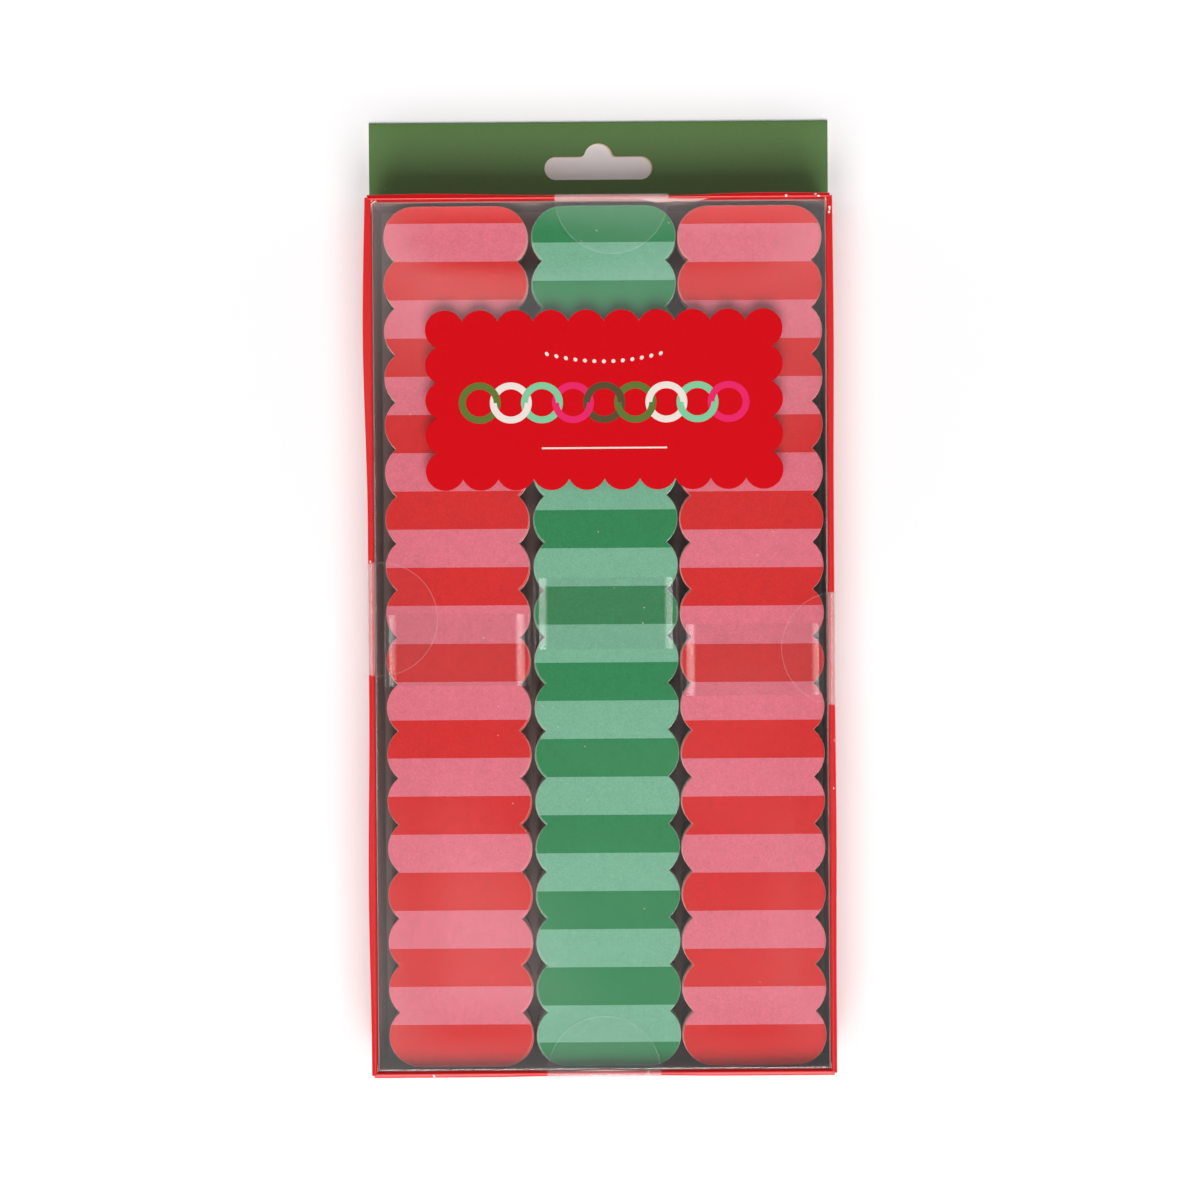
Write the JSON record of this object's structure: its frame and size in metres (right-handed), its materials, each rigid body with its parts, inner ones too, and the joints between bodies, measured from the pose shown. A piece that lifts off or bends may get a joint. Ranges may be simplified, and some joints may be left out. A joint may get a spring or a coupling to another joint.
{
  "type": "boxed paper chain strip set",
  "caption": "Hanging card box with a clear lid, holding banded stacks of scalloped striped paper strips that are looped into a paper chain garland.",
  "frame": {"origin": "middle of the underside of the whole object, hang tab and seals included, as it lies on its back", "axes": "+Z out of the box's front, +Y towards the hang tab, +X to the right seen from the front"},
  "size_m": [0.1234, 0.2562, 0.0252],
  "materials": {
    "printed_card": "gloss-coated red and green print on one side, bare grey-taupe on the other",
    "clear_film": "clear polished folded film",
    "clear_seal": "clear slightly milky sticker film",
    "clear_band": "clear thin film",
    "label_paper": null,
    "red_striped_paper": "matt uncoated paper, coral red and pink stripes",
    "green_striped_paper": "matt uncoated paper, dark green and mint stripes"
  },
  "bodies": {
    "root": {"tray": "printed_card", "clear_lid": "clear_film", "front_label": "label_paper", "left_strip_1": "red_striped_paper", "left_strip_2": "red_striped_paper", "left_strip_3": "red_striped_paper", "left_strip_4": "red_striped_paper", "left_strip_5": "red_striped_paper", "left_strips_upper_block": "red_striped_paper", "left_strips_lower_block": "green_striped_paper", "left_band": "clear_band", "middle_strip_1": "green_striped_paper", "middle_strip_2": "green_striped_paper", "middle_strip_3": "green_striped_paper", "middle_strip_4": "green_striped_paper", "middle_strip_5": "green_striped_paper", "middle_strips_upper_block": "green_striped_paper", "middle_strips_lower_block": "red_striped_paper", "middle_band": "clear_band", "right_strip_1": "red_striped_paper", "right_strip_2": "red_striped_paper", "right_strip_3": "red_striped_paper", "right_strip_4": "red_striped_paper", "right_strip_5": "red_striped_paper", "right_strips_upper_block": "red_striped_paper", "right_strips_lower_block": "green_striped_paper", "right_band": "clear_band", "left_seal": "clear_seal", "right_seal": "clear_seal", "top_seal": "clear_seal", "bottom_seal": "clear_seal"}
  },
  "joints": []
}
